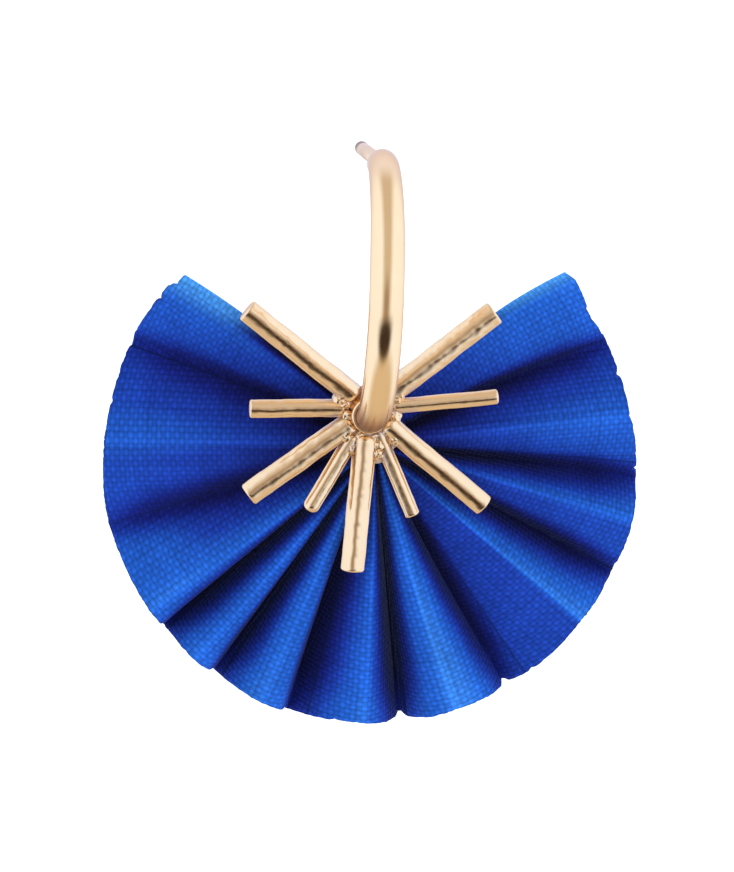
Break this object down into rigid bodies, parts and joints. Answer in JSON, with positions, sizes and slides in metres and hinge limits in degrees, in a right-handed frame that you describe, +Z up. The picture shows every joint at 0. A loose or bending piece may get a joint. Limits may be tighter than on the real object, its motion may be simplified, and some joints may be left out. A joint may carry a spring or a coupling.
{
  "type": "fan earring",
  "caption": "Drop earring: a pleated blue cloth fan behind a burst of gold metal rods, on a half-round hook with a straight post for a pierced ear.",
  "frame": {"origin": "on the post's axis, in the middle of the ear lobe that the post goes through", "axes": "+Z up as worn, -Y out of the fan's front towards the viewer, +Y along the post towards its free end"},
  "size_m": [0.0344, 0.0198, 0.0371],
  "materials": {
    "gold": "polished pale gold plating",
    "post_metal": "polished, a little pinker than the hook",
    "back_metal": "satin gold plating",
    "blue_cloth": "matt woven cotton-like cloth, royal blue"
  },
  "bodies": {
    "root": {"ear_post": "post_metal", "ear_hook": "gold", "burst": "gold", "fan": "blue_cloth", "back_plate": "back_metal"}
  },
  "joints": []
}
